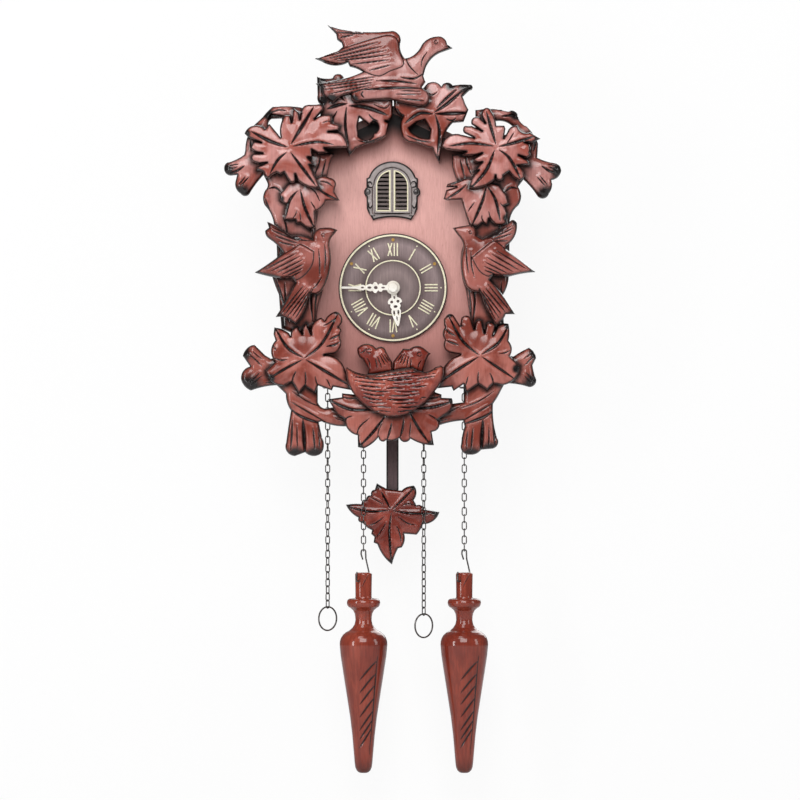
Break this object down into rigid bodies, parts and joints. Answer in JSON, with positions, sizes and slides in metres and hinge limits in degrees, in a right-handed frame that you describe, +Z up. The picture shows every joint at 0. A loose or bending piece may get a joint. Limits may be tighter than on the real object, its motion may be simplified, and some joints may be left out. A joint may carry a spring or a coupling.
{
  "type": "wall cuckoo clock",
  "caption": "Wall-hung battery cuckoo clock with carved leaves and birds, a round dial, louvred bird shutters, a leaf pendulum, pull chains and turned wooden weights.",
  "frame": {"origin": "centre of the hanging hole, on the wall plane", "axes": "+Z up, +Y from the clock into the wall, +X to the right of someone facing the clock"},
  "size_m": [0.2866, 0.122, 0.6368],
  "materials": {
    "carved_wood": "satin",
    "panel_wood": "satin",
    "case_wood": "satin",
    "weight_wood": "gloss",
    "dial_face": "satin",
    "gilt": "gloss",
    "ivory_plastic": "satin",
    "grey_plastic": "satin",
    "movement_plastic": "matte",
    "white_plastic": "matte",
    "brass": "polished",
    "steel": "brushed",
    "chain_steel": "aged",
    "battery_jacket": "gloss",
    "bird_paint": "satin"
  },
  "bodies": {
    "case": {"front_panel": "panel_wood", "left_wall": "case_wood", "right_wall": "case_wood", "bottom_board": "case_wood", "left_roof_board": "case_wood", "right_roof_board": "case_wood", "back_panel": "case_wood", "hanger_plate": "steel", "back_door_hinges": "brass", "top_bird": "carved_wood", "left_crest_leaf": "carved_wood", "right_crest_leaf": "carved_wood", "left_vine_leaf": "carved_wood", "right_vine_leaf": "carved_wood", "left_vine_branch": "carved_wood", "right_vine_branch": "carved_wood", "left_side_leaf": "carved_wood", "right_side_leaf": "carved_wood", "left_bird": "carved_wood", "right_bird": "carved_wood", "left_lower_leaf": "carved_wood", "right_lower_leaf": "carved_wood", "left_lower_branch": "carved_wood", "right_lower_branch": "carved_wood", "bottom_leaf": "carved_wood", "nest": "carved_wood", "dial_plate": "dial_face", "dial_rings": "gilt", "dial_numerals": "gilt", "movement_case": "movement_plastic", "movement_cover": "movement_plastic", "batteries": "battery_jacket", "speaker": "movement_plastic", "shutter_surround": "grey_plastic", "carriage_rail": "steel", "surround_screws": "steel", "pendulum_bracket": "movement_plastic", "chain_staples": "steel"},
    "hour_hand_set": {"hour_hand": "ivory_plastic", "hour_wheel": "white_plastic"},
    "minute_hand_set": {"minute_hand": "ivory_plastic", "hand_cap": "ivory_plastic", "minute_arbor": "brass"},
    "minute_wheel_set": {"minute_wheel": "white_plastic"},
    "pendulum": {"pendulum_rod": "case_wood", "pendulum_bob": "carved_wood"},
    "cuckoo_set": {"cuckoo": "bird_paint", "cuckoo_carriage": "movement_plastic"},
    "left_shutter_leaf": {"left_shutter": "grey_plastic"},
    "right_shutter_leaf": {"right_shutter": "grey_plastic"},
    "left_ring_strand": {"left_ring_chain": "chain_steel"},
    "right_ring_strand": {"right_ring_chain": "chain_steel"},
    "left_weight_strand": {"left_weight_chain": "chain_steel"},
    "right_weight_strand": {"right_weight_chain": "chain_steel"},
    "left_hung_weight": {"left_weight": "weight_wood", "left_weight_hook": "chain_steel"},
    "right_hung_weight": {"right_weight": "weight_wood", "right_weight_hook": "chain_steel"},
    "battery_door": {"back_door": "case_wood"},
    "switch_slider": {"volume_switch": "movement_plastic"}
  },
  "joints": [
    {"name": "minute_hand_turn", "type": "hinge", "parent": "case", "child": "minute_hand_set", "pos_m": [0, -0.095, -0.117], "axis": [0, 1, 0], "continuous": true},
    {"name": "hour_hand_turn", "type": "hinge", "parent": "case", "child": "hour_hand_set", "pos_m": [0, -0.09, -0.117], "axis": [0, 1, 0], "continuous": true},
    {"name": "minute_wheel_turn", "type": "hinge", "parent": "case", "child": "minute_wheel_set", "pos_m": [0.012, -0.07, -0.117], "axis": [0, 1, 0], "continuous": true},
    {"name": "pendulum_swing", "type": "hinge", "parent": "case", "child": "pendulum", "pos_m": [-0.0005, -0.03975, -0.15], "axis": [0, 1, 0], "range_deg": [-5, 5]},
    {"name": "cuckoo_slide", "type": "slide", "parent": "case", "child": "cuckoo_set", "axis": [0, -1, 0], "range_m": [0, 0.03]},
    {"name": "left_shutter_swing", "type": "hinge", "parent": "case", "child": "left_shutter_leaf", "pos_m": [-0.0163, -0.091, -0.042], "axis": [0, 0, 1], "range_deg": [-110.1, 0.1]},
    {"name": "right_shutter_swing", "type": "hinge", "parent": "case", "child": "right_shutter_leaf", "pos_m": [0.0149, -0.091, -0.042], "axis": [0, 0, 1], "range_deg": [-0.1, 110.1]},
    {"name": "left_ring_chain_swing", "type": "hinge", "parent": "case", "child": "left_ring_strand", "pos_m": [-0.056, -0.057, -0.202], "axis": [1, 0, 0], "range_deg": [-15, 1.5]},
    {"name": "right_ring_chain_swing", "type": "hinge", "parent": "case", "child": "right_ring_strand", "pos_m": [0.0263, -0.057, -0.202], "axis": [1, 0, 0], "range_deg": [-15, 1.5]},
    {"name": "left_weight_chain_swing", "type": "hinge", "parent": "case", "child": "left_weight_strand", "pos_m": [-0.0253, -0.057, -0.202], "axis": [1, 0, 0], "range_deg": [-15, 1.5]},
    {"name": "left_weight_swing", "type": "hinge", "parent": "left_weight_strand", "child": "left_hung_weight", "pos_m": [-0.0253, -0.057, -0.34203], "axis": [0, 1, 0], "range_deg": [-3, 3]},
    {"name": "right_weight_chain_swing", "type": "hinge", "parent": "case", "child": "right_weight_strand", "pos_m": [0.061, -0.057, -0.202], "axis": [1, 0, 0], "range_deg": [-15, 1.5]},
    {"name": "right_weight_swing", "type": "hinge", "parent": "right_weight_strand", "child": "right_hung_weight", "pos_m": [0.061, -0.057, -0.34203], "axis": [0, 1, 0], "range_deg": [-3, 3]},
    {"name": "battery_door_swing", "type": "hinge", "parent": "case", "child": "battery_door", "pos_m": [-0.063, -0.0035, -0.117], "axis": [0, 0, 1], "range_deg": [0, 100]},
    {"name": "volume_switch_slide", "type": "slide", "parent": "case", "child": "switch_slider", "axis": [0, 0, 1], "range_m": [-0.004, 0.004]}
  ],
  "couplings": [
    {"joint": "hour_hand_turn", "follows": "minute_hand_turn", "ratio": 0.083333},
    {"joint": "minute_wheel_turn", "follows": "minute_hand_turn", "ratio": -0.33333},
    {"joint": "left_shutter_swing", "follows": "cuckoo_slide", "rad_per_m": -64},
    {"joint": "right_shutter_swing", "follows": "cuckoo_slide", "rad_per_m": 64}
  ]
}
